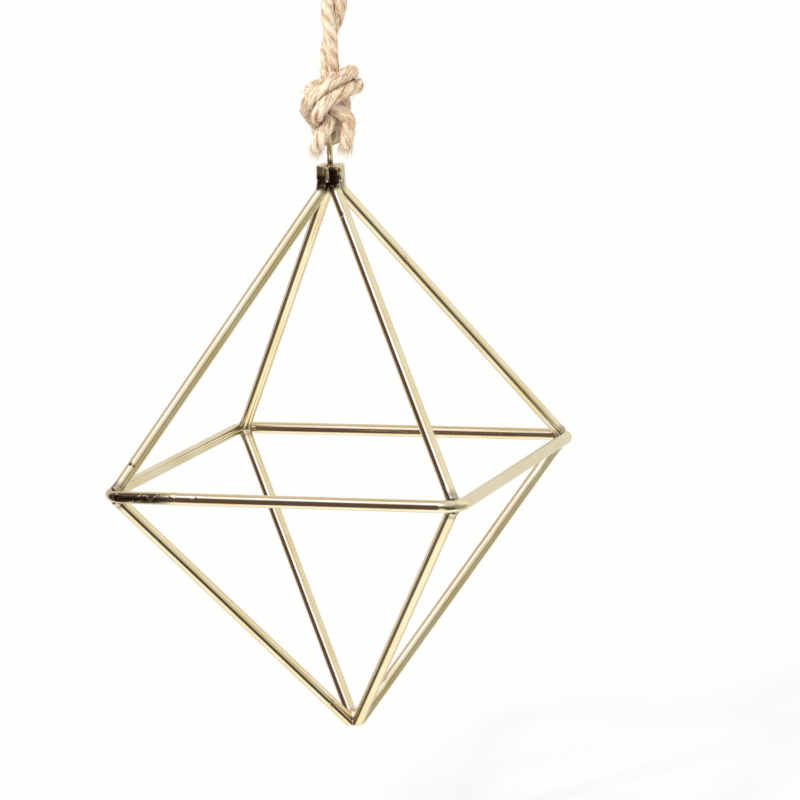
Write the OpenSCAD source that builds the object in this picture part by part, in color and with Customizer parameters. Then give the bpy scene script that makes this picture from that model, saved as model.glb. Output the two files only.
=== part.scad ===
// Hanging wire holder: a double pyramid of brass-plated wire, welded at its
// corners and tips, that hangs by an eye from knotted jute twine.
// Millimetres, +Z up. The origin is where a hook carries the hanging loop:
// the inside of the loop's top.

/* [Wire frame] */
// Diameter of the frame's wire
wire_d = 3; // [2:0.1:4]
// Side of the square middle ring, between wire centres
ring_side = 90; // [70:1:140]
// Bend radius at the ring's corners, to the wire's centre
ring_bend = 5; // [4:0.5:10]
// Height from the ring to the bends of the upper legs
upper_rise = 69; // [50:1:110]
// Depth from the ring to the flat lower tip
lower_drop = 66; // [50:1:110]
// Length of the legs' upright ends, above their bends
upright_length = 6; // [4:0.5:12]
// Bend radius of an upper leg, to the wire's centre
leg_bend = 4; // [3:0.5:8]
// Play that keeps the bundled uprights just clear of the eye's stem
bundle_play = 0.02; // [0.01:0.01:0.2]
// Saw-cut width of the mitred lower tip
tip_kerf = 0.1; // [0.05:0.05:0.3]

/* [Weld beads] */
// How far the bead round a leg's foot stands proud of the leg
bead_proud = 0.5; // [0.2:0.05:0.8]
// Clearance between that bead and the ring it is drawn over
bead_lift = 0.2; // [0.2:0.05:0.4]
// Diameter of the bead in the lower tip
tip_bead_d = 5; // [4:0.1:6]
// Diameter of the seams between the bundled uprights
seam_d = 1.5; // [1.2:0.1:2.4]
// How far the ring's own butt weld stands proud of its wire
butt_proud = 0.25; // [0.15:0.05:0.5]
// Distance of the butt weld from the left front corner
butt_from_corner = 18; // [12:1:40]

/* [Hanging eye] */
// Diameter of the eye's wire
eye_wire_d = 1.4; // [1.2:0.1:2]
// Inside diameter of the eye
eye_bore = 7; // [6.8:0.1:9]
// Length of the stem that the uprights hold
stem_length = 5.5; // [3:0.5:10]
// Turn of the eye about the vertical, against the ring's front side
eye_turn = 20; // [0:5:90]

/* [Jute twine] */
// Diameter of one twine
twine_d = 3; // [2:0.1:3.1]
// Length of the doubled twine between its two knots
cord_length = 42; // [30:1:120]
// Half the distance between the two twines' centres
strand_offset = 1.75; // [1.7:0.05:2]
// Turn of one twine about the other over that length
lay_turn = 450; // [90:180:810]
// Sideways bow of the doubled twine
cord_bow = 2.4; // [0:0.2:6]

/* [Hidden] */

brass = "#c8ab68";
weld_metal = "#e6dcc0";
jute = "#d3ab7c";
$fn = 48;

// Directions of the four corners, seen from above
left_front = 225;
right_front = 315;
right_back = 45;
left_back = 135;

// The twine's own measures, around the centre of each knot
knot_reach = 6.5;
loop_height = 45;
eye_below_knot = 11.45;
twine_sides = 8;
// As tied, the lower knot stands a little to the right of the eye in its turn
knot_shift = 1;

// Levels, from the hook down
top_knot_z = twine_d / 2 - loop_height;
cord_top_z = top_knot_z - knot_reach;
cord_end_z = cord_top_z - cord_length;
low_knot_z = cord_end_z - knot_reach;
eye_z = low_knot_z - eye_below_knot;
eye_ring_r = (eye_bore + eye_wire_d) / 2;
bundle_top_z = eye_z - eye_ring_r - eye_wire_d / 2;
ring_z = bundle_top_z - upright_length - upper_rise;

// The legs lie in upright planes through the axis and the ring's corners
wire_r = wire_d / 2;
corner_r = (ring_side / 2 - ring_bend) * sqrt(2) + ring_bend;
bundle_pitch = max((wire_d + eye_wire_d) / 2, wire_r * sqrt(2) + 0.05) + bundle_play;
upper_lean = atan((corner_r - bundle_pitch) / upper_rise);
upper_length = norm([corner_r - bundle_pitch, upper_rise]);
bend_cut = leg_bend * tan(upper_lean / 2);
// The lower legs' centre lines would cross a little under their flat tip
tip_sink = 0.2 * wire_d;
lower_lean = atan(corner_r / (lower_drop + tip_sink));
lower_length = norm([corner_r, lower_drop + tip_sink]);

// Points of the twine at a knot: x, y, z and the share of its full diameter.
// The working end comes down the core, turns back under the eye's top,
// crosses the front twice as wide as it is thick, and tucks under itself.
core_foot = -3.6;
// The two twines enter it side by side, at the lower knot turned out of the eye's
// plane, and at the top knot on the axis that the cord sways about
entry_turn = 65;
function entry(side, turn) = [for (z = [knot_reach, 5.5, 4.5])
    [side * strand_offset * cos(turn), -side * strand_offset * sin(turn), z, 1]];
core_one = concat(entry(-1, entry_turn),
    [[-0.7, 1.4, 2, 0.93], [0, 1.3, -1, 0.93], [1.4, 1.8, core_foot, 0.87]]);
top_core_one = concat(entry(-1, 0),
    [[-1.4, 0.3, 2, 0.93], [0, 1.3, -1, 0.93], [1.4, 1.8, core_foot, 0.87]]);
turn_one = [[2.5, 1.5, -5.9, 0.8], [2.5, 1.45, -7.6, 0.8], [1.8, 1.45, -9.4, 0.8],
    [0, 1.45, -10.1, 0.8], [-1.8, 1.45, -9.4, 0.8], [-2.5, 1.45, -7.6, 0.8], [-3.2, 1.2, -6, 0.8]];
wrap_one = [[-5, 0.4, -4.6, 0.87], [-6, -2.4, -2.4, 0.93], [-4.8, -5.6, 0.4, 0.93],
    [-0.9, -7, 3.5, 0.93], [3.2, -5.2, 5.6, 0.93], [5.2, -1.2, 6.1, 0.93], [4.3, 2.9, 5.1, 0.93],
    [0.6, 4.9, 3.6, 0.93], [-3.2, 4.2, 2.3, 0.93], [-5, 1.4, 1.8, 0.93], [-3.8, -1.6, 0.8, 0.87],
    [-1.4, -3.9, -0.6, 0.87], [1.2, -5.3, -2.5, 0.87], [4.1, -5.1, -4.5, 0.9], [4.7, -4.8, -7.2, 0.93]];
core_two = concat(entry(1, entry_turn),
    [[1.3, -1.4, 2.2, 0.93], [2.9, -0.5, -1, 0.93], [2.9, -1.1, core_foot, 0.87]]);
top_core_two = concat(entry(1, 0),
    [[2.1, -0.1, 2, 0.93], [2.9, -0.5, -1, 0.93], [2.9, -1.1, core_foot, 0.87]]);
turn_two = [[2.6, -1.4, -5.9, 0.8], [2.5, -1.45, -7.6, 0.8], [1.8, -1.45, -9.4, 0.8],
    [0, -1.45, -10.1, 0.8], [-1.8, -1.45, -9.4, 0.8], [-2.5, -1.45, -7.6, 0.8], [-3, -2, -6, 0.8]];
wrap_two = [[-3.8, -4.2, -5, 0.87], [-3.4, -7, -3.1, 0.9], [-0.4, -7.6, 0.2, 0.93],
    [3.6, -6.1, 2.1, 0.93], [6.1, -2.6, 2.8, 0.93], [5.9, 1.4, 2.2, 0.93], [3.2, 4.7, 0.7, 0.93],
    [-1, 4.8, -0.8, 0.93], [-3.7, 3, -1.5, 0.9], [-3.1, -0.2, -2.2, 0.87], [-0.9, -2.8, -3.6, 0.87],
    [-0.7, -4.8, -5.7, 0.93], [-2.2, -5.9, -7.8, 0.93]];
tail_one = [[4.6, -5, -9.8, 0.93], [4.5, -4.8, -12.6, 0.8]];
tail_two = [[-3.7, -6, -10.2, 0.93], [-4.5, -5.4, -12.6, 0.8]];
// From the first twine's way out of the top knot, over the hook, to the second's
loop_points = [[4.6, -4.2, -12, 1], [5.8, -2.4, -20, 1], [6.8, -0.8, -28, 1], [7, 0, -36, 1],
    [6.2, 0, -41.4, 1], [3.6, 0, -44, 1], [0, 0, -45, 1], [-3.6, 0, -44, 1], [-6.2, 0, -41.4, 1],
    [-7, 0, -36, 1], [-6.6, -1, -28, 1], [-5.2, -3, -20, 1], [-3, -5.2, -12, 1]];
steps = 3;
// The top knot holds no eye, so its turns are drawn up closer
top_draw = 0.8;

// A smooth line through points, with equal steps between each two
function between(a, b, c, d, t) = 0.5 * (2 * b + (c - a) * t + (2 * a - 5 * b + 4 * c - d) * t * t
    + (3 * b - a - 3 * c + d) * t * t * t);
function smooth(p) = let(last = len(p) - 1) concat(
    [for (i = [0:last - 1], k = [0:steps - 1])
        between(i > 0 ? p[i - 1] : 2 * p[0] - p[1], p[i], p[i + 1],
            i < last - 1 ? p[i + 2] : 2 * p[last] - p[last - 1], k / steps)],
    [p[last]]);
function beside(p) = [for (q = p) [q.x + knot_shift, q.y, q.z, q[3]]];
function drawn(p, share) = [for (q = p) [q.x, q.y, core_foot + (q.z - core_foot) * share, q[3]]];
function reversed(p) = [for (i = [len(p) - 1:-1:0]) p[i]];

// Rings of a tube along a path, turned from one to the next without a twist
function spot(p) = [p.x, p.y, p.z];
function unit(v) = v / norm(v);
function heading(p, i) = unit(spot(p[min(i + 1, len(p) - 1)]) - spot(p[max(i - 1, 0)]));
function square_to(v, t) = unit(v - (v * t) * t);
function sides_of(p) = [for (i = 0, m = square_to([0.3, 1, 0.2], heading(p, 0)); i < len(p);
    i = i + 1, m = square_to(m, heading(p, min(i, len(p) - 1)))) m];
function rings(p) = let(m = sides_of(p)) [for (i = [0:len(p) - 1]) let(t = heading(p, i),
    r = p[i][3] * twine_d / 2) [for (s = [0:twine_sides - 1]) let(a = s * 360 / twine_sides)
        spot(p[i]) + r * (cos(a) * m[i] + sin(a) * cross(t, m[i]))]];

// The least gap between two stretches of one path that aren't neighbours
function own_gap(p) = min([for (i = [0:len(p) - 1], j = [0:len(p) - 1])
    if (j - i > 3 * steps) norm(spot(p[i]) - spot(p[j])) - (p[i][3] + p[j][3]) * twine_d / 2]);

// Whole lines of twine: two at the lower knot, and one that forms the top knot and the loop
line_one = smooth(concat(beside(core_one), turn_one, beside(concat(wrap_one, tail_one))));
line_two = smooth(concat(beside(core_two), turn_two, beside(concat(wrap_two, tail_two))));
line_top = smooth(concat(top_core_one, drawn(turn_one, top_draw), wrap_one, loop_points,
    reversed(wrap_two), reversed(drawn(turn_two, top_draw)), reversed(top_core_two)));
one_out = steps * (len(core_one) + len(turn_one) + len(wrap_one) - 1);
two_out = steps * (len(core_two) + len(turn_two) + len(wrap_two) - 1);
top_in = len(line_top) - 1 - two_out;
echo(least_gap_lower_one = own_gap(line_one));
echo(least_gap_lower_two = own_gap(line_two));
echo(least_gap_top = own_gap(line_top));

// The doubled twine between the knots: straight for one diameter at each end,
// and between them a smooth lay of one strand about the other on a bowed line,
// from one knot's entry to the other's
function ease(t) = t * t * (3 - 2 * t);
function between_ends(t) = min(1, max(0, (t * cord_length - twine_d) / (cord_length - 2 * twine_d)));
function cord_middle(t) = knot_shift * (1 - ease(t)) + cord_bow * pow(sin(180 * t), 2);
function strand_spot(t, side) = let(b = between_ends(t),
    a = side + entry_turn + (lay_turn - entry_turn) * ease(b)) [
    cord_middle(b) + strand_offset * cos(a), -strand_offset * sin(a), t * cord_length];
// The upper end is domed, so that it can lean in its seat under the top knot
dome = [for (a = [20:20:80]) [sin(a), cos(a)]];
cord_steps = 21;
function strand(side) = let(r = twine_d / 2, body = 1 - r / cord_length) concat(
    [for (i = [0:cord_steps]) let(p = strand_spot(body * i / cord_steps, side)) [p.x, p.y, p.z, 1]],
    [for (d = dome) let(p = strand_spot(body + d[0] * r / cord_length, side)) [p.x, p.y, p.z, d[1]]]);

module twine(r) {
    n = len(r);
    k = twine_sides;
    color(jute) polyhedron(
        points = [for (ring = r, q = ring) q],
        faces = concat(
            [for (s = [1:k - 2]) [0, s, s + 1]],
            [for (i = [0:n - 2], s = [0:k - 1]) [i * k + s, (i + 1) * k + s, i * k + (s + 1) % k]],
            [for (i = [0:n - 2], s = [0:k - 1])
                [i * k + (s + 1) % k, (i + 1) * k + s, (i + 1) * k + (s + 1) % k]],
            [for (s = [1:k - 2]) [(n - 1) * k, (n - 1) * k + s + 1, (n - 1) * k + s]]),
        convexity = 10);
}

function part_of(r, from, to) = [for (i = [from:to]) r[i]];

module in_eye_plane(z) {
    translate([0, 0, z]) rotate([0, 0, eye_turn]) children();
}

module at_lower_knot() {
    in_eye_plane(low_knot_z) children();
}

// The top knot is the same knot the other way up, a quarter turn round
module at_top_knot() {
    in_eye_plane(top_knot_z) rotate([0, 0, 90]) rotate([180, 0, 0]) children();
}

// Turned into a corner's plane, where the wires of that corner lie
module at_corner(direction) {
    translate([0, 0, ring_z]) rotate([0, 0, direction]) children();
}

// A run of wire from the ring's corner, leaning in by an angle
module leaning(lean, from, length) {
    translate([corner_r, 0, 0]) rotate([0, -lean, 0]) translate([0, 0, from])
        cylinder(d = wire_d, h = length);
}

module ring_wire() {
    half = ring_side / 2;
    straight = half - ring_bend;
    for (turn = [0:90:270]) rotate([0, 0, turn]) {
        translate([half, -straight, 0]) rotate([-90, 0, 0]) cylinder(d = wire_d, h = 2 * straight);
        translate([straight, straight, 0]) rotate_extrude(angle = 90)
            translate([ring_bend, 0]) circle(d = wire_d);
    }
}

module middle_ring() {
    color(brass) translate([0, 0, ring_z]) ring_wire();
}

// Straight from the ring to the bend, round it, and upright to the top. Its
// runs hang on the bend's centre, which keeps their ends face to face.
module upper_wire() {
    translate([bundle_pitch + leg_bend, 0, upper_rise + bend_cut]) rotate([90, 0, 0]) {
        rotate([0, 0, 180]) rotate_extrude(angle = upper_lean) translate([leg_bend, 0])
            circle(d = wire_d);
        translate([-leg_bend, 0, 0]) rotate([-90, 0, 0])
            cylinder(d = wire_d, h = upright_length - bend_cut);
        rotate([0, 0, upper_lean]) translate([-leg_bend, 0, 0]) rotate([90, 0, 0])
            cylinder(d = wire_d, h = upper_length - wire_r - bend_cut);
    }
}

// The lower wires are mitred against each other and cut flat under the tip
module lower_wire() {
    reach = corner_r + wire_d;
    intersection() {
        mirror([0, 0, 1]) leaning(lower_lean, wire_r, lower_length - wire_r + wire_d);
        translate([tip_kerf / sqrt(2), 0, -lower_drop]) rotate([0, 0, -45])
            cube([reach, reach, lower_drop]);
    }
}

module upper_leg(direction) {
    color(brass) at_corner(direction) upper_wire();
}

module lower_leg(direction) {
    color(brass) at_corner(direction) lower_wire();
}

// One bead over and one under the ring, each a half-round collar on its leg's foot
module corner_bead(lean) {
    translate([corner_r, 0, 0]) rotate([0, -lean, 0])
        translate([0, 0, wire_r + bead_lift + bead_proud]) difference() {
            rotate_extrude() translate([wire_r, 0]) circle(r = bead_proud);
            cylinder(d = wire_d, h = 4 * bead_proud, center = true);
        }
}

module corner_welds(direction) {
    color(weld_metal) at_corner(direction) {
        corner_bead(upper_lean);
        mirror([0, 0, 1]) corner_bead(lower_lean);
    }
}

module ring_butt_weld() {
    color(weld_metal) translate([butt_from_corner - ring_side / 2, -ring_side / 2, ring_z])
        rotate([0, 90, 0]) difference() {
            sphere(r = wire_r + butt_proud);
            cylinder(d = wire_d, h = 2 * wire_d, center = true);
        }
}

// Brazed seams in the four outer valleys of the bundled uprights
module bundle_welds() {
    step = bundle_pitch / sqrt(2);
    valley = step + sqrt(pow(wire_r + seam_d / 4, 2) - pow(step, 2));
    seam_length = upright_length - bend_cut - seam_d;
    color(weld_metal) translate([0, 0, bundle_top_z - seam_d / 2 - seam_length])
        for (turn = [0:90:270]) rotate([0, 0, turn]) difference() {
            translate([valley, 0, 0]) union() {
                cylinder(d = seam_d, h = seam_length);
                sphere(d = seam_d);
                translate([0, 0, seam_length]) sphere(d = seam_d);
            }
            for (side = [-1, 1]) translate([step, side * step, -seam_d])
                cylinder(d = wire_d, h = seam_length + 2 * seam_d);
        }
}

module tip_weld() {
    color(weld_metal) difference() {
        intersection() {
            translate([0, 0, ring_z - lower_drop + tip_bead_d * 0.35]) sphere(d = tip_bead_d);
            translate([-tip_bead_d, -tip_bead_d, ring_z - lower_drop])
                cube([2 * tip_bead_d, 2 * tip_bead_d, 2 * tip_bead_d]);
        }
        for (direction = [left_front, right_front, right_back, left_back])
            at_corner(direction) lower_wire();
    }
}

// A ring of thin wire on a stem, which the bundled uprights hold
module hanging_eye() {
    color(brass) union() {
        in_eye_plane(eye_z) rotate([0, 90, 0]) rotate_extrude() translate([eye_ring_r, 0])
            circle(d = eye_wire_d);
        translate([0, 0, bundle_top_z - stem_length])
            cylinder(d = eye_wire_d, h = stem_length + eye_wire_d / 2);
    }
}

module lower_knot() {
    at_lower_knot() {
        twine(part_of(rings(line_one), 0, one_out));
        twine(part_of(rings(line_two), 0, two_out));
    }
}

module left_tail() {
    at_lower_knot() twine(part_of(rings(line_two), two_out, len(line_two) - 1));
}

module right_tail() {
    at_lower_knot() twine(part_of(rings(line_one), one_out, len(line_one) - 1));
}

module first_twine() {
    in_eye_plane(cord_end_z) twine(rings(strand(180)));
}

module second_twine() {
    in_eye_plane(cord_end_z) twine(rings(strand(0)));
}

module top_knot() {
    at_top_knot() {
        twine(part_of(rings(line_top), 0, one_out));
        twine(part_of(rings(line_top), top_in, len(line_top) - 1));
    }
}

module hanging_loop() {
    at_top_knot() twine(part_of(rings(line_top), one_out, top_in));
}

middle_ring();
upper_leg(left_front);  // upper_leg_left_front
upper_leg(right_front);  // upper_leg_right_front
upper_leg(right_back);  // upper_leg_right_back
upper_leg(left_back);  // upper_leg_left_back
lower_leg(left_front);  // lower_leg_left_front
lower_leg(right_front);  // lower_leg_right_front
lower_leg(right_back);  // lower_leg_right_back
lower_leg(left_back);  // lower_leg_left_back
corner_welds(left_front);  // corner_welds_left_front
corner_welds(right_front);  // corner_welds_right_front
corner_welds(right_back);  // corner_welds_right_back
corner_welds(left_back);  // corner_welds_left_back
ring_butt_weld();
bundle_welds();
tip_weld();
hanging_eye();
lower_knot();
left_tail();
right_tail();
first_twine();
second_twine();
top_knot();
hanging_loop();
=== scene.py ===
# Hanging wire holder on knotted jute twine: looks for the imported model.
# Everything is in metres in the model's own frame, +Z up, origin in the hook.
import bpy
import bmesh
import math
import numpy as np
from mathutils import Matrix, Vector, noise


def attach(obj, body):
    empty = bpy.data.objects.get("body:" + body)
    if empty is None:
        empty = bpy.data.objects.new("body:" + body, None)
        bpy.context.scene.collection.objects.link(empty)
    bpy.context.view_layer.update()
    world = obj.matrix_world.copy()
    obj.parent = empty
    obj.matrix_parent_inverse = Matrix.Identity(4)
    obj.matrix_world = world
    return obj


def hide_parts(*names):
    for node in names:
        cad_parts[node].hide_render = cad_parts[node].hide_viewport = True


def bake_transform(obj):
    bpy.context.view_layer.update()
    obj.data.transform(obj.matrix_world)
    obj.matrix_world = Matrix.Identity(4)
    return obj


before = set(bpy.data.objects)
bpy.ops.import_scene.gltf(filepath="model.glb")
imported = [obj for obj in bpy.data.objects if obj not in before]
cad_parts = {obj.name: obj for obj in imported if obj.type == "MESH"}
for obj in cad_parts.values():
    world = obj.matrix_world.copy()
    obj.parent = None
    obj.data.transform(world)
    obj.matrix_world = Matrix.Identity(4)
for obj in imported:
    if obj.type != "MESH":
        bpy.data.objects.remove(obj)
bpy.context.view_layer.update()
scene = bpy.context.scene
mm = 0.001


# Colours and nodes: sRGB hex to the linear values that sockets take
def hexColour(text):
    parts = [int(text[i:i + 2], 16) / 255 for i in (1, 3, 5)]
    return [v / 12.92 if v <= 0.04045 else ((v + 0.055) / 1.055) ** 2.4 for v in parts] + [1.0]


def addNode(tree, kind, values=None, links=None, **settings):
    node = tree.nodes.new(kind)
    for key, value in settings.items():
        setattr(node, key, value)
    for key, value in (values or {}).items():
        node.inputs[key].default_value = value
    for key, source in (links or {}).items():
        tree.links.new(source, node.inputs[key])
    return node


def newMaterial(name):
    material = bpy.data.materials.new(name)
    material.use_nodes = True
    material.node_tree.nodes.clear()
    return material, material.node_tree


def rampOf(tree, source, stops):
    ramp = addNode(tree, "ShaderNodeValToRGB", links={"Fac": source})
    band = ramp.color_ramp
    band.interpolation = "EASE"
    while len(band.elements) < len(stops):
        band.elements.new(0.5)
    for element, (place, colour) in zip(band.elements, stops):
        element.position = place
        element.color = hexColour(colour) if isinstance(colour, str) else [colour] * 3 + [1]
    return ramp.outputs["Color"]


# Camera
cameraLook = {"right": (0.94312, 0.32978, -0.04213), "ahead": (-0.33189, 0.92649, -0.17740),
              "up": (-0.01947, 0.18130, 0.98323), "placeMm": (358.9, -958.7, 10.4), "lens": 189.49,
              "sensor": 36.0, "near": 0.05, "far": 50}


def makeCamera():
    data = bpy.data.cameras.new("camera")
    data.lens, data.sensor_width = cameraLook["lens"], cameraLook["sensor"]
    data.clip_start, data.clip_end = cameraLook["near"], cameraLook["far"]
    camera = bpy.data.objects.new("camera", data)
    scene.collection.objects.link(camera)
    right, ahead, up = (Vector(cameraLook[k]).normalized() for k in ("right", "ahead", "up"))
    turn = camera.matrix_world.copy()
    for row in range(3):
        turn[row][0], turn[row][1], turn[row][2] = right[row], up[row], -ahead[row]
        turn[row][3] = cameraLook["placeMm"][row] * mm
    camera.matrix_world = turn
    scene.camera = camera


makeCamera()
print("camera placed")


# Sizes of the wire frame, mm
wireSizes = {"wire": 3.0, "ringSide": 90, "ringBend": 5, "upperRise": 69, "lowerDrop": 66, "upright": 6,
             "legBend": 4, "play": 0.02, "eyeWire": 1.4, "eyeBore": 7, "stem": 5.5, "eyeTurn": 20,
             "mitreGap": 0.05, "step": 0.45}
twineSizes = {"twine": 3.0, "cordLength": 42, "offset": 1.55, "layTurn": 450, "bow": 2.4, "reach": 6.5,
              "loopHeight": 45, "eyeBelowKnot": 11.45, "knotShift": 1.0, "topDraw": 0.8, "coreFoot": -3.6,
              "entryTurn": 65}

w, t = wireSizes, twineSizes
wireR = w["wire"] / 2
topKnotZ = t["twine"] / 2 - t["loopHeight"]
cordTopZ = topKnotZ - t["reach"]
cordEndZ = cordTopZ - t["cordLength"]
lowKnotZ = cordEndZ - t["reach"]
eyeZ = lowKnotZ - t["eyeBelowKnot"]
eyeRingR = (w["eyeBore"] + w["eyeWire"]) / 2
bundleTopZ = eyeZ - eyeRingR - w["eyeWire"] / 2
ringZ = bundleTopZ - w["upright"] - w["upperRise"]
cornerR = (w["ringSide"] / 2 - w["ringBend"]) * math.sqrt(2) + w["ringBend"]
pitchR = max((w["wire"] + w["eyeWire"]) / 2, wireR * math.sqrt(2) + 0.05) + w["play"]
upperLean = math.atan((cornerR - pitchR) / w["upperRise"])
upperLength = math.hypot(cornerR - pitchR, w["upperRise"])
bendCut = w["legBend"] * math.tan(upperLean / 2)
tipSink = 0.2 * w["wire"]
lowerLean = math.atan(cornerR / (w["lowerDrop"] + tipSink))
lowerLength = math.hypot(cornerR, w["lowerDrop"] + tipSink)
corners = {"left_front": 225, "right_front": 315, "right_back": 45, "left_back": 135}


# Tubes
def unitRows(v):
    return v / np.maximum(np.linalg.norm(v, axis=1, keepdims=True), 1e-12)


def lengthsAlong(points):
    return np.concatenate([[0], np.cumsum(np.linalg.norm(np.diff(points, axis=0), axis=1))])


def sideAngles(sides):
    return math.pi + np.arange(sides) * 2 * math.pi / sides


def levelSides(count):
    return np.tile([[1.0, 0, 0]], (count, 1)), np.tile([[0, 1.0, 0]], (count, 1))


# Turns points about Z and lifts them; in a corner's own plane x runs out to the corner
def turned(points, degrees, z):
    a = math.radians(degrees)
    p = np.array(points, float)
    return np.stack([p[:, 0] * math.cos(a) - p[:, 1] * math.sin(a),
                     p[:, 0] * math.sin(a) + p[:, 1] * math.cos(a), p[:, 2] + z], axis=1)


def evenly(points, step):
    p = np.array(points, float)
    s = lengthsAlong(p)
    n = max(2, int(round(s[-1] / step)))
    at = np.linspace(0, s[-1], n + 1)
    return np.stack([np.interp(at, s, p[:, k]) for k in range(p.shape[1])], axis=1)


# Tangents of a path, and two sides that are carried along it without a twist
def carriedSides(path, start=(0.3, 1, 0.2), closed=False):
    if closed:
        tangent = unitRows(np.roll(path, -1, 0) - np.roll(path, 1, 0))
    else:
        tangent = unitRows(np.gradient(path, axis=0))
    side = np.zeros_like(path)
    m = np.array(start, float)
    for i in range(len(path)):
        m = m - tangent[i] * (m @ tangent[i])
        m = m / np.linalg.norm(m)
        side[i] = m
    return tangent, side, np.cross(tangent, side)


# Collects tubes and lumps, then becomes one mesh
class Skin:
    def __init__(self):
        self.points, self.faces, self.uvs, self.depth, self.count = [], [], [], [], 0

    def tube(self, path, radii, sideA, sideB, closed=False, caps=True, depth=0.0, along=None, shear=0.0):
        rings, sides = radii.shape
        angle = sideAngles(sides)
        ring = (path[:, None, :] + radii[:, :, None] * (np.cos(angle)[None, :, None] * sideA[:, None, :]
                + np.sin(angle)[None, :, None] * sideB[:, None, :]))
        if along is None:
            along = lengthsAlong(path)
        n0 = self.count
        self.points.append(ring.reshape(-1, 3))
        level = depth if isinstance(depth, np.ndarray) else np.full((rings, sides), depth)
        self.depth.append(level.reshape(-1))
        self.count += rings * sides
        last = rings if closed else rings - 1
        end = along[-1] + (along[1] - along[0])
        for i in range(last):
            k = (i + 1) % rings
            v0, v1 = along[i], (along[k] if k else end)
            for j in range(sides):
                q = (j + 1) % sides
                self.faces.append((n0 + i * sides + j, n0 + i * sides + q,
                                   n0 + k * sides + q, n0 + k * sides + j))
                u0, u1, lean0, lean1 = j / sides, (j + 1) / sides, shear * v0, shear * v1
                self.uvs.extend((u0 + lean0, v0, u1 + lean0, v0, u1 + lean1, v1, u0 + lean1, v1))
        if caps and not closed:
            for i, flip in ((0, True), (rings - 1, False)):
                middle = path[i]
                self.points.append(middle[None, :])
                self.depth.append(level[i].mean(keepdims=True).reshape(1))
                c = self.count
                self.count += 1
                for j in range(sides):
                    q = (j + 1) % sides
                    a, b = n0 + i * sides + j, n0 + i * sides + q
                    self.faces.append((c, b, a) if flip else (c, a, b))
                    self.uvs.extend((0, along[i], 0.02, along[i], 0.02, along[i] + 0.02))

    def mesh(self, name, material):
        data = bpy.data.meshes.new(name)
        points = np.concatenate(self.points) * mm
        data.from_pydata(points.tolist(), [], self.faces)
        layer = data.uv_layers.new(name="lay")
        layer.data.foreach_set("uv", np.array(self.uvs, np.float32))
        tag = data.attributes.new("depth", "FLOAT", "POINT")
        tag.data.foreach_set("value", np.concatenate(self.depth).astype(np.float32))
        data.polygons.foreach_set("use_smooth", [True] * len(data.polygons))
        data.materials.append(material)
        data.update()
        thing = bpy.data.objects.new(name, data)
        scene.collection.objects.link(thing)
        return thing


# Jute twine material: retted jute, loosely spun
# The groove tone is painted shade for the recesses between plies and where runs of twine touch
juteLook = {"light": "#fff4e3", "mid": "#f9e2c4", "dark": "#cc9e77", "shade": "#e0b088", "paintedGrooveShade": "#6f432b",
            "plyGirthMm": 4.4, "fibreMm": 0.3, "fibreRunMm": 3.6, "patchMm": 5.0, "bumpMm": 0.5,
            "roughness": 0.85, "sheen": 0.25}
looseLook = {"light": "#fff4e0", "mid": "#f9e2bf", "dark": "#b98a60", "toneMm": 2.5, "roughness": 0.6}


# Matt, with long pale fibres; painted shade darkens the grooves between the plies and the places where runs of
# twine touch
def makeJute():
    look = juteLook
    material, tree = newMaterial("laidJuteYarn")
    uv = addNode(tree, "ShaderNodeUVMap", uv_map="lay").outputs["UV"]
    scale = (look["plyGirthMm"] / look["fibreMm"] / 2, 1 / look["fibreRunMm"], 1)
    run = addNode(tree, "ShaderNodeMapping", {"Scale": scale}, {"Vector": uv})
    fibres = addNode(tree, "ShaderNodeTexNoise", {"Scale": 1.0, "Detail": 5, "Roughness": 0.7},
                     {"Vector": run.outputs[0]})
    place = addNode(tree, "ShaderNodeTexCoord").outputs["Object"]
    patches = addNode(tree, "ShaderNodeTexNoise", {"Scale": 1000 / look["patchMm"], "Detail": 3},
                      {"Vector": place})
    streak = rampOf(tree, fibres.outputs["Fac"],
                    [(0.35, look["dark"]), (0.45, look["mid"]), (0.55, look["light"])])
    tint = addNode(tree, "ShaderNodeMix", {"B": hexColour(look["shade"])}, {"A": streak}, data_type="RGBA")
    tintShare = addNode(tree, "ShaderNodeMapRange", {"From Min": 0.48, "From Max": 0.72, "To Max": 0.4},
                        {"Value": patches.outputs["Fac"]})
    tree.links.new(tintShare.outputs[0], tint.inputs["Factor"])
    # Painted shade: the depth attribute pulls the colour towards the groove tone
    depth = addNode(tree, "ShaderNodeAttribute", attribute_name="depth").outputs["Fac"]
    grooveShadeShare = addNode(tree, "ShaderNodeMapRange", {"From Min": 0.3, "From Max": 0.72, "To Max": 0.92},
                   {"Value": depth})
    withGrooveShade = addNode(tree, "ShaderNodeMix", {"B": hexColour(look["paintedGrooveShade"])},
                     {"A": tint.outputs["Result"], "Factor": grooveShadeShare.outputs[0]}, data_type="RGBA")
    bump = addNode(tree, "ShaderNodeBump", {"Strength": 0.9, "Distance": look["bumpMm"] * mm},
                   {"Height": fibres.outputs["Fac"]})
    shader = addNode(tree, "ShaderNodeBsdfPrincipled",
                     {"Roughness": look["roughness"], "Sheen Weight": look["sheen"],
                      "Sheen Roughness": 0.5, "Specular IOR Level": 0.3},
                     {"Base Color": withGrooveShade.outputs["Result"], "Normal": bump.outputs[0]})
    addNode(tree, "ShaderNodeOutputMaterial", links={"Surface": shader.outputs[0]})
    return material


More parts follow.
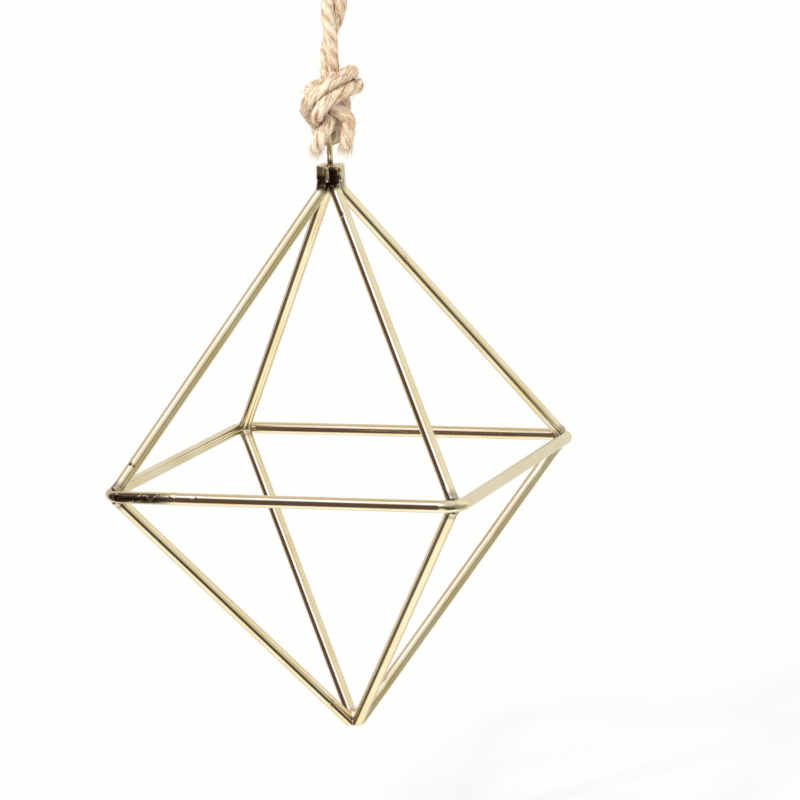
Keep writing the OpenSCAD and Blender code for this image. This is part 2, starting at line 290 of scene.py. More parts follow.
# Single bast fibres: pale and faintly shiny, each with a tone of its own
def makeLooseFibre():
    look = looseLook
    material, tree = newMaterial("looseJuteFibre")
    place = addNode(tree, "ShaderNodeTexCoord").outputs["Object"]
    cloud = addNode(tree, "ShaderNodeTexNoise", {"Scale": 1000 / look["toneMm"], "Detail": 2},
                    {"Vector": place})
    tone = addNode(tree, "ShaderNodeAttribute", attribute_name="depth").outputs["Fac"]
    both = addNode(tree, "ShaderNodeMath", {1: 0.5}, {0: tone}, operation="MULTIPLY_ADD")
    tree.links.new(cloud.outputs["Fac"], both.inputs[2])
    colour = rampOf(tree, both.outputs[0], [(0.45, look["light"]), (0.7, look["mid"]), (0.98, look["dark"])])
    shader = addNode(tree, "ShaderNodeBsdfPrincipled",
                     {"Roughness": look["roughness"], "Specular IOR Level": 0.35}, {"Base Color": colour})
    addNode(tree, "ShaderNodeOutputMaterial", links={"Surface": shader.outputs[0]})
    return material


juteYarn, looseFibre = makeJute(), makeLooseFibre()


# The twine's route, as chosen for the model: x, y, z in mm round a knot's centre, and the share of
# the twine's full diameter
d = t["offset"]


def entries(side, turn):
    a = math.radians(turn)
    return [(side * d * math.cos(a), -side * d * math.sin(a), z, 1) for z in (6.5, 5.5, 4.5)]


coreOne = entries(-1, t["entryTurn"]) + [(-0.7, 1.4, 2, 0.93), (0, 1.3, -1, 0.93), (1.4, 1.8, -3.6, 0.87)]
topCoreOne = entries(-1, 0) + [(-1.4, 0.3, 2, 0.93), (0, 1.3, -1, 0.93), (1.4, 1.8, -3.6, 0.87)]
turnOne = [(2.5, 1.5, -5.9, 0.8), (2.5, 1.45, -7.6, 0.8), (1.8, 1.45, -9.4, 0.8), (0, 1.45, -10.1, 0.8),
           (-1.8, 1.45, -9.4, 0.8), (-2.5, 1.45, -7.6, 0.8), (-3.2, 1.2, -6, 0.8)]
wrapOne = [(-5, 0.4, -4.6, 0.87), (-6, -2.4, -2.4, 0.93), (-4.8, -5.6, 0.4, 0.93), (-0.9, -7, 3.5, 0.93),
           (3.2, -5.2, 5.6, 0.93), (5.2, -1.2, 6.1, 0.93), (4.3, 2.9, 5.1, 0.93), (0.6, 4.9, 3.6, 0.93),
           (-3.2, 4.2, 2.3, 0.93), (-5, 1.4, 1.8, 0.93), (-3.8, -1.6, 0.8, 0.87), (-1.4, -3.9, -0.6, 0.87),
           (1.2, -5.3, -2.5, 0.87), (3.8, -5.1, -4.5, 0.9), (3.8, -4.9, -7.2, 0.93)]
coreTwo = entries(1, t["entryTurn"]) + [(1.3, -1.4, 2.2, 0.93), (2.9, -0.5, -1, 0.93), (2.9, -1.1, -3.6, 0.87)]
topCoreTwo = entries(1, 0) + [(2.1, -0.1, 2, 0.93), (2.9, -0.5, -1, 0.93), (2.9, -1.1, -3.6, 0.87)]
turnTwo = [(2.6, -1.4, -5.9, 0.8), (2.5, -1.45, -7.6, 0.8), (1.8, -1.45, -9.4, 0.8), (0, -1.45, -10.1, 0.8),
           (-1.8, -1.45, -9.4, 0.8), (-2.5, -1.45, -7.6, 0.8), (-3, -2, -6, 0.8)]
wrapTwo = [(-3.8, -4.2, -5, 0.87), (-3.4, -7, -3.1, 0.9), (-0.4, -7.6, 0.2, 0.93), (3.6, -6.1, 2.1, 0.93),
           (6.1, -2.6, 2.8, 0.93), (5.9, 1.4, 2.2, 0.93), (3.2, 4.7, 0.7, 0.93), (-1, 4.8, -0.8, 0.93),
           (-3.7, 3, -1.5, 0.9), (-3.1, -0.2, -2.2, 0.87), (-0.9, -2.8, -3.6, 0.87), (-0.7, -4.8, -5.7, 0.93),
           (-2.2, -5.9, -7.8, 0.93)]
tailOne = [(3.3, -5, -9.8, 0.93), (2.9, -4.8, -12.0, 0.8)]
tailTwo = [(-3.6, -6, -10.2, 0.93), (-4.2, -5.4, -12.2, 0.8)]
loopPoints = [(4.6, -4.2, -12, 1), (5.8, -2.4, -20, 1), (6.8, -0.8, -28, 1), (7, 0, -36, 1), (6.2, 0, -41.4, 1),
              (3.6, 0, -44, 1), (0, 0, -45, 1), (-3.6, 0, -44, 1), (-6.2, 0, -41.4, 1), (-7, 0, -36, 1),
              (-6.6, -1, -28, 1), (-5.2, -3, -20, 1), (-3, -5.2, -12, 1)]


lineSteps, strandSteps = 12, 120


def smoothLine(points):
    p = np.array(points, float)
    p = np.vstack([2 * p[0] - p[1], p, 2 * p[-1] - p[-2]])
    out = []
    for i in range(1, len(p) - 2):
        a, b, c, e = p[i - 1], p[i], p[i + 1], p[i + 2]
        for k in range(lineSteps):
            u = k / lineSteps
            out.append(0.5 * (2 * b + (c - a) * u + (2 * a - 5 * b + 4 * c - e) * u * u
                              + (3 * b - a - 3 * c + e) * u ** 3))
    out.append(p[-2])
    return np.array(out)


def beside(points):
    return [(x + t["knotShift"], y, z, s) for x, y, z, s in points]


def drawnUp(points):
    return [(x, y, t["coreFoot"] + (z - t["coreFoot"]) * t["topDraw"], s) for x, y, z, s in points]


def inEyePlane(points, z):
    p = np.array(points, float)
    return np.column_stack([turned(p, w["eyeTurn"], z), p[:, 3]])


# Upside down and a quarter turn round
def atTopKnot(points):
    p = np.array(points, float)
    upended = np.stack([p[:, 1], p[:, 0], -p[:, 2], p[:, 3]], axis=1)
    return inEyePlane(upended, topKnotZ)


def ease(v):
    return v * v * (3 - 2 * v)


def strandLine(side):
    out = []
    for k in range(strandSteps + 1):
        v = k / strandSteps
        b = min(1, max(0, (v * t["cordLength"] - t["twine"]) / (t["cordLength"] - 2 * t["twine"])))
        a = math.radians(side + t["entryTurn"] + (t["layTurn"] - t["entryTurn"]) * ease(b))
        x = t["knotShift"] * (1 - ease(b)) + t["bow"] * math.sin(math.pi * b) ** 2
        out.append((x + t["offset"] * math.cos(a), -t["offset"] * math.sin(a), v * t["cordLength"], 1))
    return inEyePlane(out, cordEndZ)


def stepsOf(points):
    return lineSteps * (len(points) - 1)


lineOne = inEyePlane(smoothLine(beside(coreOne) + turnOne + beside(wrapOne + tailOne)), lowKnotZ)
lineTwo = inEyePlane(smoothLine(beside(coreTwo) + turnTwo + beside(wrapTwo + tailTwo)), lowKnotZ)
lineTop = atTopKnot(smoothLine(topCoreOne + drawnUp(turnOne) + wrapOne + loopPoints + wrapTwo[::-1]
                               + drawnUp(turnTwo)[::-1] + topCoreTwo[::-1]))
oneOut = stepsOf(coreOne + turnOne + wrapOne)
twoOut = stepsOf(coreTwo + turnTwo + wrapTwo)
topIn = len(lineTop) - 1 - twoOut
strandOne, strandTwo = strandLine(180), strandLine(0)

# One length of twine, from the right tail through both knots and the loop to the left tail
stretches = [("right_tail", lineOne[oneOut:][::-1]), ("lower_knot", lineOne[:oneOut + 1][::-1]),
             ("first_twine", strandOne), ("top_knot", lineTop[topIn:][::-1]),
             ("hanging_loop", lineTop[oneOut:topIn + 1][::-1]), ("top_knot", lineTop[:oneOut + 1][::-1]),
             ("second_twine", strandTwo[::-1]), ("lower_knot", lineTwo[:twoOut + 1]),
             ("left_tail", lineTwo[twoOut:])]

twineStep = 0.32
whole, marks, at = [], [], 0.0
for name, line in stretches:
    even = evenly(line, twineStep)
    length = np.linalg.norm(np.diff(even[:, :3], axis=0), axis=1).sum()
    marks.append((name, at, at + length))
    whole.append(even if not whole else even[1:])
    at += length
whole = np.vstack(whole)
wholeAt = lengthsAlong(whole[:, :3])
marks = [(n, a * wholeAt[-1] / at, b * wholeAt[-1] / at) for n, a, b in marks]
wholeT, wholeA, wholeB = carriedSides(whole[:, :3])
print("twine route %.0f mm in all" % wholeAt[-1])

# Plies, ridges and loose fibres of the twine, mm and shares of its radius
plyLook = {"plies": 3, "layMm": -11.5, "plyShare": 0.62, "offsetShare": 0.44, "sides": 16, "ridge": 0.13,
           "tightness": 0.17, "looseMm": 7.0, "openOut": 0.25, "openThin": 0.22,
           "otherRunMm": 6, "pressFromMm": 2.45, "pressOverMm": 0.7, "pressKnot": 0.85, "pressCord": 0.45,
           "fuzzPerMm": 4.5, "fuzzMm": (0.7, 3.8), "cordFuzzMm": (0.7, 2.6), "fuzzThickMm": 0.075,
           "laidPerMm": 9.0, "laidMm": (3.0, 9.0), "laidLeastMm": 1.5, "laidThickMm": 0.17}
rng = np.random.default_rng(11)


# How far the lay has opened: 1 at the two cut ends, 0 past the last few mm
def openness(index):
    fromEnd = np.minimum(wholeAt[index], wholeAt[-1] - wholeAt[index])
    return np.clip(1 - fromEnd / plyLook["looseMm"], 0, 1) ** 1.3


# Centre of one ply: the plies turn about the twine's own line
def plyCentres(ply, index):
    q = 2 * math.pi * (ply / plyLook["plies"] + wholeAt[index] / plyLook["layMm"])
    r = whole[index, 3] * t["twine"] / 2
    side = wholeA[index] * np.cos(q)[:, None] + wholeB[index] * np.sin(q)[:, None]
    apart = r * (plyLook["offsetShare"] + plyLook["openOut"] * openness(index))
    return whole[index, :3] + side * apart[:, None], side


# How closely another run of the twine presses on a point: 1 where they touch. It sets where painted shade
# darkens the yarn
def pressed(points, at):
    others = np.abs(wholeAt[::2] - at) > plyLook["otherRunMm"]
    away = np.linalg.norm(points[:, None, :] - whole[::2, :3][others][None, :, :], axis=2).min(axis=1)
    return np.clip((plyLook["pressFromMm"] - away) / plyLook["pressOverMm"], 0, 1)


# Broad and fine swellings of one ply, by the angle round it and the mm along the twine
def ridgeOf(ply, angle, at):
    x, y = math.cos(angle), math.sin(angle)
    broad = noise.noise(Vector((x * 2.6 + ply * 9, y * 2.6, at * 0.22)))
    return broad + 0.7 * noise.noise(Vector((x * 6 + ply * 9, y * 6, at * 0.4)))


def addPlies(skin, low, high, knotted):
    index = np.where((wholeAt >= low - 0.2) & (wholeAt <= high + 0.2))[0]
    sides = plyLook["sides"]
    press = plyLook["pressKnot"] if knotted else plyLook["pressCord"]
    for ply in range(plyLook["plies"]):
        centre, outward = plyCentres(ply, index)
        tangent = unitRows(np.gradient(centre, axis=0))
        a = unitRows(outward - tangent * (outward * tangent).sum(1, keepdims=True))
        b = np.cross(tangent, a)
        share = whole[index, 3] + (plyLook["tightness"] if knotted else 0)
        base = share * t["twine"] / 2 * plyLook["plyShare"] * (1 - plyLook["openThin"] * openness(index))
        radii = np.zeros((len(index), sides))
        # Painted shade: depth is 0 on the twine's outside and 1 at its heart, and rises where other runs press;
        # it darkens the yarn colour
        depth = np.zeros_like(radii)
        for j in range(sides):
            q = math.pi + 2 * math.pi * j / sides
            turn = q + 2 * math.pi * wholeAt[index] / plyLook["layMm"]      # the fibres run along the twine
            ridge = np.array([ridgeOf(ply, k, wholeAt[i]) for i, k in zip(index, turn)])
            radii[:, j] = base * (1 + plyLook["ridge"] * ridge)
            depth[:, j] = 0.5 - 0.5 * math.cos(q)             # 0 on the twine's outside, 1 at its heart
        angle = sideAngles(sides)
        for row, i in enumerate(index):
            out = np.cos(angle)[:, None] * a[row] + np.sin(angle)[:, None] * b[row]
            ring = centre[row] + radii[row][:, None] * out
            depth[row] = np.maximum(depth[row], press * pressed(ring, wholeAt[i]))
        skin.tube(centre, radii, a, b, depth=depth, along=wholeAt[index], shear=1 / plyLook["layMm"])


# One loose fibre: thin, curved, tapering to nothing
def addFibre(skin, start, direction, length, thick, sag=0.25, curl=0.5, tone=1.0):
    direction = direction / np.linalg.norm(direction)
    side = np.cross(direction, rng.normal(size=3))
    side /= np.linalg.norm(side)
    s = np.linspace(0, 1, 7)
    bend = curl * (rng.random() + 0.3)
    path = (start[None, :] + direction[None, :] * (s * length)[:, None]
            + side[None, :] * (bend * length * s ** 2)[:, None] * 0.7
            + np.array([[0, 0, -1.0]]) * (sag * length * s ** 2)[:, None])
    _, a, b = carriedSides(path, start=side)
    radii = np.tile((thick / 2 * (1 - 0.75 * s))[:, None], (1, 3))
    skin.tube(path, radii, a, b, depth=float(rng.random() ** 2) * tone, caps=False)


# Surface fibres that lie nearly along the twine and stand off a little at their ends
def addLaid(skin, low, high, knotted):
    shortest, longest = plyLook["laidMm"]
    for _ in range(int((high - low) * plyLook["laidPerMm"])):
        length = shortest + (longest - shortest) * rng.random()
        middle = low + (high - low) * rng.random()
        first, last = max(low, middle - length / 2), min(high, middle + length / 2)
        if last - first < plyLook["laidLeastMm"]:
            continue
        s = np.linspace(first, last, max(4, int((last - first) / 0.7)))
        line = np.stack([np.interp(s, wholeAt, whole[:, k]) for k in range(4)], axis=1)
        sideA = np.stack([np.interp(s, wholeAt, wholeA[:, k]) for k in range(3)], axis=1)
        sideB = np.stack([np.interp(s, wholeAt, wholeB[:, k]) for k in range(3)], axis=1)
        q = 2 * math.pi * (rng.random() + (s - first) / plyLook["layMm"] * rng.normal(0.55, 0.35))
        v = np.abs(2 * (s - first) / (last - first) - 1)
        stand = 0.93 + 0.09 * rng.random() + v ** 4 * 0.28 * rng.random()
        r = t["twine"] / 2 * (line[:, 3] + (plyLook["tightness"] if knotted else 0)) * stand
        path = line[:, :3] + (sideA * np.cos(q)[:, None] + sideB * np.sin(q)[:, None]) * r[:, None]
        _, a, b = carriedSides(path)
        thick = plyLook["laidThickMm"] * (0.5 + rng.random()) * (1 - 0.7 * v ** 3)
        skin.tube(path, np.tile(thick[:, None] / 2, (1, 4)), a, b, depth=float(rng.random() ** 1.6),
                  caps=False)


# Short hairs that stand off the twine all round
def addFuzz(skin, low, high, lengths):
    for _ in range(int((high - low) * plyLook["fuzzPerMm"])):
        i = int(np.searchsorted(wholeAt, low + (high - low) * rng.random()))
        i = min(max(i, 1), len(whole) - 2)
        q = rng.random() * 2 * math.pi
        out = wholeA[i] * math.cos(q) + wholeB[i] * math.sin(q)
        start = whole[i, :3] + out * (whole[i, 3] * t["twine"] / 2 * 0.86)
        lean = wholeT[i] * rng.normal() * 1.3
        length = lengths[0] + (lengths[1] - lengths[0]) * rng.random() ** 2.2
        addFibre(skin, start, out * 0.8 + lean, length, plyLook["fuzzThickMm"] * (0.6 + 0.8 * rng.random()))


# The brush of fibres and thin bundles that a cut end opens into
frayLook = {"fibres": 240, "rootMm": 1.0, "rootSpreadMm": 2.5, "widthMm": 1.3, "splay": 0.24, "stray": 0.08,
            "bundleEvery": 4, "bundleMm": 0.26, "fibreMm": 0.12, "lengthMm": 1.8, "lengthSpreadMm": 2.6,
            "sag": 0.05, "curl": 0.25, "tone": 0.35}


def frayEnd(skin, atEnd):
    look = frayLook
    i = len(whole) - 1 if atEnd else 0
    heading = wholeT[i] * (1 if atEnd else -1)
    for k in range(look["fibres"]):
        q, spread = rng.random() * 2 * math.pi, rng.random() ** 0.6
        out = wholeA[i] * math.cos(q) + wholeB[i] * math.sin(q)
        start = (whole[i, :3] - heading * (look["rootMm"] + look["rootSpreadMm"] * rng.random())
                 + out * spread * look["widthMm"])
        way = heading + out * spread * look["splay"] + rng.normal(size=3) * look["stray"]
        length = look["lengthMm"] + look["lengthSpreadMm"] * rng.random()
        thick = look["fibreMm"] if k % look["bundleEvery"] else look["bundleMm"]
        addFibre(skin, start, way, length, thick, sag=look["sag"], curl=look["curl"], tone=look["tone"])


def makeTwine():
    made = {}
    for node in ("first_twine", "second_twine", "lower_knot", "top_knot", "hanging_loop", "left_tail",
                 "right_tail"):
        skin, loose = Skin(), Skin()
        for name, low, high in marks:
            if name != node:
                continue
            knotted = name in ("lower_knot", "top_knot", "left_tail", "right_tail")
            inCord = name in ("first_twine", "second_twine")
            addPlies(skin, low, high, knotted)
            addLaid(loose, low, high, knotted)
            addFuzz(loose, low, high, plyLook["cordFuzzMm" if inCord else "fuzzMm"])
        if node == "left_tail":
            frayEnd(loose, True)
        if node == "right_tail":
            frayEnd(loose, False)
        yarn = skin.mesh(node + "_yarn", juteYarn)
        hairs = loose.mesh(node + "_fibres", looseFibre)
        made[node] = (yarn, hairs)
        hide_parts(node)
    return made


twine = makeTwine()
bodyOf = {"lower_knot": "knot", "left_tail": "knot", "right_tail": "knot", "top_knot": "hanger",
          "hanging_loop": "hanger"}
for node, body in bodyOf.items():
    for piece in twine[node]:
        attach(piece, body)
for node in ("first_twine", "second_twine"):
    for piece in twine[node]:
        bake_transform(piece)

onCord = [p for n in bodyOf for p in twine[n]]
for node, line, others in (("first_twine", strandOne, onCord), ("second_twine", strandTwo, [])):
    route = evenly(line[:, :3], 1.5) * mm
    length = float(np.linalg.norm(np.diff(route, axis=0), axis=1).sum())
print("twine made")


# Brass wire material: drawn steel wire, plated and lacquered
brassLook = {"pale": "#f5edcf", "warm": "#efe0b8", "pit": "#b09a6a", "stainAndDarkReflection": "#46342a", "roughness": 0.11,
             "stainRough": 0.34, "speckMm": 0.55, "cloudMm": 16, "waveMm": 11.0, "waveBumpMm": 0.3,
             "girthMm": 9.42, "lineMm": 0.5, "lineRunPerMm": 0.12, "lineBumpMm": 0.04, "pitMm": 0.9}
weldTone = {"dull": "#e6d6a8", "bright": "#faf3da", "grainMm": 0.9, "bumpMm": 0.2, "roughness": 0.28}


# A bright, nearly mirror-like pale gold whose reflections wander a little, with faint lines along the wire, a
# few pits, the brown of the welding heat, and the same brown as a painted dark reflection on the ring's side
# that faces the camera
def makeBrass():
    look = brassLook
    material, tree = newMaterial("brassPlatingOnDrawnWire")
    place = addNode(tree, "ShaderNodeTexCoord").outputs["Object"]
    uv = addNode(tree, "ShaderNodeUVMap", uv_map="lay").outputs["UV"]
    cloud = addNode(tree, "ShaderNodeTexNoise", {"Scale": 1000 / look["cloudMm"], "Detail": 3},
                    {"Vector": place})
    pits = addNode(tree, "ShaderNodeTexVoronoi", {"Scale": 1000 / look["pitMm"] / 3}, {"Vector": place})
    colour = rampOf(tree, cloud.outputs["Fac"], [(0.35, look["pale"]), (0.7, look["warm"])])
    pitMask = rampOf(tree, pits.outputs["Distance"], [(0.05, 1.0), (0.11, 0.0)])
    pitMix = addNode(tree, "ShaderNodeMix", {"B": hexColour(look["pit"])}, data_type="RGBA")
    tree.links.new(colour, pitMix.inputs["A"])
    soft = addNode(tree, "ShaderNodeMath", {1: 0.35}, {0: pitMask}, operation="MULTIPLY")
    tree.links.new(soft.outputs[0], pitMix.inputs["Factor"])
    # The depth attribute holds the brown share: heat stains, and on the ring's camera-facing side a painted
    # dark reflection
    stainAndDarkReflection = addNode(tree, "ShaderNodeAttribute", attribute_name="depth").outputs["Fac"]
    speck = addNode(tree, "ShaderNodeTexNoise",
                    {"Scale": 1000 / look["speckMm"] / 2, "Detail": 3, "Roughness": 0.6}, {"Vector": place})
    speckMask = rampOf(tree, speck.outputs["Fac"], [(0.55, 1.0), (0.66, 0.15)])
    stainAndReflectionShare = addNode(tree, "ShaderNodeMath", {}, {0: stainAndDarkReflection, 1: speckMask}, operation="MULTIPLY")
    withStainAndReflection = addNode(tree, "ShaderNodeMix", {"B": hexColour(look["stainAndDarkReflection"])},
                      {"A": pitMix.outputs["Result"], "Factor": stainAndReflectionShare.outputs[0]}, data_type="RGBA")
    scale = (look["girthMm"] / look["lineMm"], look["lineRunPerMm"], 1)
    lines = addNode(tree, "ShaderNodeMapping", {"Scale": scale}, {"Vector": uv})
    drawn = addNode(tree, "ShaderNodeTexNoise", {"Scale": 1.0, "Detail": 2}, {"Vector": lines.outputs[0]})
    waves = addNode(tree, "ShaderNodeTexNoise", {"Scale": 1000 / look["waveMm"], "Detail": 1},
                    {"Vector": place})
    rough = addNode(tree, "ShaderNodeMapRange",
                    {"To Min": look["roughness"] * 0.75, "To Max": look["roughness"] * 1.5},
                    {"Value": cloud.outputs["Fac"]})
    bumpLine = addNode(tree, "ShaderNodeBump", {"Strength": 0.10, "Distance": look["lineBumpMm"] * mm},
                       {"Height": drawn.outputs["Fac"]})
    bumpWave = addNode(tree, "ShaderNodeBump", {"Strength": 0.25, "Distance": look["waveBumpMm"] * mm},
                       {"Height": waves.outputs["Fac"], "Normal": bumpLine.outputs[0]})
    roughAll = addNode(tree, "ShaderNodeMix", {"B": look["stainRough"]},
                       {"A": rough.outputs[0], "Factor": stainAndReflectionShare.outputs[0]})
    shader = addNode(tree, "ShaderNodeBsdfPrincipled", {"Metallic": 1.0},
                     {"Base Color": withStainAndReflection.outputs["Result"], "Roughness": roughAll.outputs[0],
                      "Normal": bumpWave.outputs[0]})
    addNode(tree, "ShaderNodeOutputMaterial", links={"Surface": shader.outputs[0]})
    return material


# The same plating over cast, lumpy weld metal, so that it glints in patches
def makeWeldMetal():
    look = weldTone
    material, tree = newMaterial("platedWeldBead")
    place = addNode(tree, "ShaderNodeTexCoord").outputs["Object"]
    grain = addNode(tree, "ShaderNodeTexNoise", {"Scale": 1000 / look["grainMm"], "Detail": 4},
                    {"Vector": place})
    colour = rampOf(tree, grain.outputs["Fac"], [(0.3, look["dull"]), (0.6, look["bright"])])
    bump = addNode(tree, "ShaderNodeBump", {"Strength": 0.3, "Distance": look["bumpMm"] * mm},
                   {"Height": grain.outputs["Fac"]})
    shader = addNode(tree, "ShaderNodeBsdfPrincipled", {"Metallic": 1.0, "Roughness": look["roughness"]},
                     {"Base Color": colour, "Normal": bump.outputs[0]})
    addNode(tree, "ShaderNodeOutputMaterial", links={"Surface": shader.outputs[0]})
    return material


brassPlating, weldMetal = makeBrass(), makeWeldMetal()


# Wires
# Nicks of the bending and welding clamps: mm along the wire, the way it faces, its length and depth
clampMarks = {"upper_leg_left_front": [(6.6, (0.1, -0.9, 0.35), 0.8, 0.2)],
              "upper_leg_right_front": [(81.5, (-0.2, -0.95, 0.3), 0.8, 0.2),
                                        (3.2, (0, -0.82, 0.57), 3.0, 0.15)],
              "lower_leg_left_front": [(79.5, (0.25, -0.95, 0.1), 1.0, 0.16)],
              "lower_leg_right_back": [(77.0, (0, -0.82, 0.57), 4.5, 0.17), (9.5, (0, -0.82, 0.57), 5.0, 0.19),
                                       (31, (0, -0.82, 0.57), 4.2, 0.17)],
              "upper_leg_right_back": [(64, (0.3, -0.9, 0.3), 1.2, 0.1)],
              "middle_ring": [(18.6, (0.1, -0.8, 0.6), 0.5, 0.12)]}

# Heat stains: how brown each upright is and how many mm of its top stayed clean, and the foot of every leg.
# Painted dark reflection: a brown band on the ring's side that faces the camera, by its left front corner and
# on its right front bend
uprightStain = {"upper_leg_left_front": (0.95, 1.8), "upper_leg_right_front": (1.0, 0.2),
                "upper_leg_right_back": (0.2, 1.0), "upper_leg_left_back": (0.8, 0.8)}
bundleStain = {"depthMm": 7.2, "fadeMm": 1.5, "topFadeMm": 0.8}
footStain = {"share": 0.55, "endMm": 2.6, "fadeMm": 1.6}
ringDarkReflection = {"faces": (0.25, -0.95, 0.1), "edge": 0.5, "soft": 0.16, "share": 0.95, "endMm": 14.5,
             "fadeMm": 6, "cornerMm": 7, "bendShare": 0.8, "bendBackMm": 4, "bendHalfMm": 5, "bendEdge": 0.72,
             "bendSoft": 0.12}
eyeStain = {"share": 0.85, "riseMm": 2.8, "fadeMm": 1.2}
wireSides, eyeSides = 40, 24


# A round wire with its nicks
def wireRadii(name, path, along, sideA, sideB):
    angle = 180 + np.arange(wireSides) * 360 / wireSides
    radii = np.full((len(path), wireSides), wireR)
    for place, facing, length, depth in clampMarks.get(name, []):
        i = int(np.argmin(np.abs(along - place)))
        middle = math.degrees(math.atan2(np.dot(facing, sideB[i]), np.dot(facing, sideA[i])))
        lengthwise = np.exp(-((along - place) / length) ** 2 * 4)
        around = np.exp(-(((angle - middle + 180) % 360 - 180) / 60) ** 2 * 2)
        radii -= depth * lengthwise[:, None] * around[None, :]
    return radii


def wireStainAndDarkReflection(name, along, sideA, sideB):
    stainAndDarkReflection = np.zeros((len(along), wireSides))
    # Painted dark reflection: on the ring, brown on the side that faces the camera by the left front corner and
    # on the right front bend; elsewhere heat stains
    if name == "middle_ring":
        look = ringDarkReflection
        angle = sideAngles(wireSides)
        outward = (np.outer(sideA @ look["faces"], np.cos(angle))
                   + np.outer(sideB @ look["faces"], np.sin(angle)))
        band = np.clip((outward - look["edge"]) / look["soft"], 0, 1)
        fromCorner = np.where(along > along[-1] - look["cornerMm"], 0, along)
        stainAndDarkReflection += look["share"] * np.clip((look["endMm"] - fromCorner) / look["fadeMm"], 0, 1)[:, None] * band
        fromBend = np.abs(along - w["ringSide"] + look["bendBackMm"]) / look["bendHalfMm"]
        bendBand = np.clip((outward - look["bendEdge"]) / look["bendSoft"], 0, 1)
        stainAndDarkReflection += look["bendShare"] * np.clip(1 - fromBend, 0, 1)[:, None] * bendBand
    else:
        foot = np.clip((footStain["endMm"] - along) / footStain["fadeMm"], 0, 1)
        stainAndDarkReflection += (footStain["share"] * foot)[:, None]
    if name in uprightStain:
        amount, clean = uprightStain[name]
        fromTop = along[-1] - along
        inBundle = np.clip((bundleStain["depthMm"] - fromTop) / bundleStain["fadeMm"], 0, 1)
        below = np.clip((fromTop - clean) / bundleStain["topFadeMm"], 0, 1)
        stainAndDarkReflection += (amount * inBundle * below)[:, None]
    return stainAndDarkReflection


def addWire(name, path, closed=False):
    skin = Skin()
    if not closed:
        step = unitRows(np.array([path[-1] - path[-2]]))[0]
        path = np.vstack([path[:-1], path[-1] - step * 0.3, path[-1] - step * 0.12, path[-1]])
    _, a, b = carriedSides(path, closed=closed)
    along = lengthsAlong(path)
    radii = wireRadii(name, path, along, a, b)
    if not closed:                            # deburred end
        radii[-2:] *= np.array([[0.96], [0.84]])
    skin.tube(path, radii, a, b, closed=closed, along=along, depth=wireStainAndDarkReflection(name, along, a, b))
    return skin.mesh(name + "_wire", brassPlating)


# Front side first, from the left
def ringPath():
    half, bend = w["ringSide"] / 2, w["ringBend"]
    flat = half - bend
    side = [(half, y, 0) for y in np.linspace(-flat, flat, 160)]
    bendPart = [(flat + bend * math.cos(q), flat + bend * math.sin(q), 0)
                for q in np.linspace(0, math.pi / 2, 26)[1:-1]]
    return np.vstack([turned(side + bendPart, turn, ringZ) for turn in (270, 0, 90, 180)])


def upperPath():
    foot = np.array([cornerR, 0, 0.0])
    lean = np.array([-math.sin(upperLean), 0, math.cos(upperLean)])
    start, stop = foot + lean * wireR, foot + lean * (upperLength - bendCut)
    centre = np.array([pitchR + w["legBend"], 0, w["upperRise"] + bendCut])
    bend = [centre + w["legBend"] * np.array([-math.cos(q), 0, -math.sin(q)])
            for q in np.linspace(upperLean, 0, 14)]
    top = np.array([pitchR, 0, w["upperRise"] + w["upright"]])
    return evenly([start, stop] + bend + [top], w["step"])


def lowerPath():
    lean = np.array([-math.sin(lowerLean), 0, -math.cos(lowerLean)])
    foot = np.array([cornerR, 0, 0.0])
    return evenly([foot + lean * wireR, foot + lean * (lowerLength + w["wire"])], w["step"])


# Cuts off what lies on the normal's side, and closes the cut
def cutAway(piece, point, normal):
    shape = bmesh.new()
    shape.from_mesh(piece.data)
    made = bmesh.ops.bisect_plane(shape, geom=shape.verts[:] + shape.edges[:] + shape.faces[:],
                                  plane_co=Vector(point) * mm, plane_no=normal, clear_outer=True)
    edges = [e for e in made["geom_cut"] if isinstance(e, bmesh.types.BMEdge)]
    filled = bmesh.ops.contextual_create(shape, geom=edges) if edges else {"faces": []}
    for face in filled.get("faces", []):
        face.smooth = False
    shape.to_mesh(piece.data)
    shape.free()


def makeFrame():
    ring = addWire("middle_ring", ringPath(), closed=True)
    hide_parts("middle_ring")
    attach(ring, "frame")
    for corner, direction in corners.items():
        upper = addWire("upper_leg_" + corner, turned(upperPath(), direction, ringZ))
        lower = addWire("lower_leg_" + corner, turned(lowerPath(), direction, ringZ))
        a = math.radians(direction)
        out = Vector((math.cos(a), math.sin(a), 0))
        across = Vector((-math.sin(a), math.cos(a), 0))
        cutAway(lower, (0, 0, ringZ - w["lowerDrop"]), Vector((0, 0, -1)))
        for side in (1, -1):
            normal = (across * side - out).normalized()
            cutAway(lower, tuple(-normal * w["mitreGap"]), normal)
        for piece, node in ((upper, "upper_leg_" + corner), (lower, "lower_leg_" + corner)):
            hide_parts(node)
            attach(piece, "frame")


makeFrame()
print("wire frame made")


# Weld beads: sizes in mm, and rows of a corner bead by mm up the leg and radius
weldLook = {"lumps": 0.08, "lumpSize": 1.3, "lumpFrom": 1.53, "widest": 2.05, "tipBead": 5.0, "tipLumps": 0.15,
            "seam": 1.5, "seamBead": 0.72, "seamSink": 0.12, "buttFromCorner": 18, "buttHalf": 0.9}
collarRows = [(0.8, 1.2), (1.2, 1.58), (1.45, 1.62), (1.7, 1.58), (1.95, 1.55), (2.2, 1.52), (2.4, 1.5),
              (2.5, 1.44)]
buttSwell = [0.0, 0.05, 0.09, 0.11, 0.1, 0.11, 0.09, 0.05, 0.0]


def wobble(point, seed, size):
    return noise.noise(Vector(point) / size + Vector((seed * 7.3, seed * 3.1, seed * 5.7)))


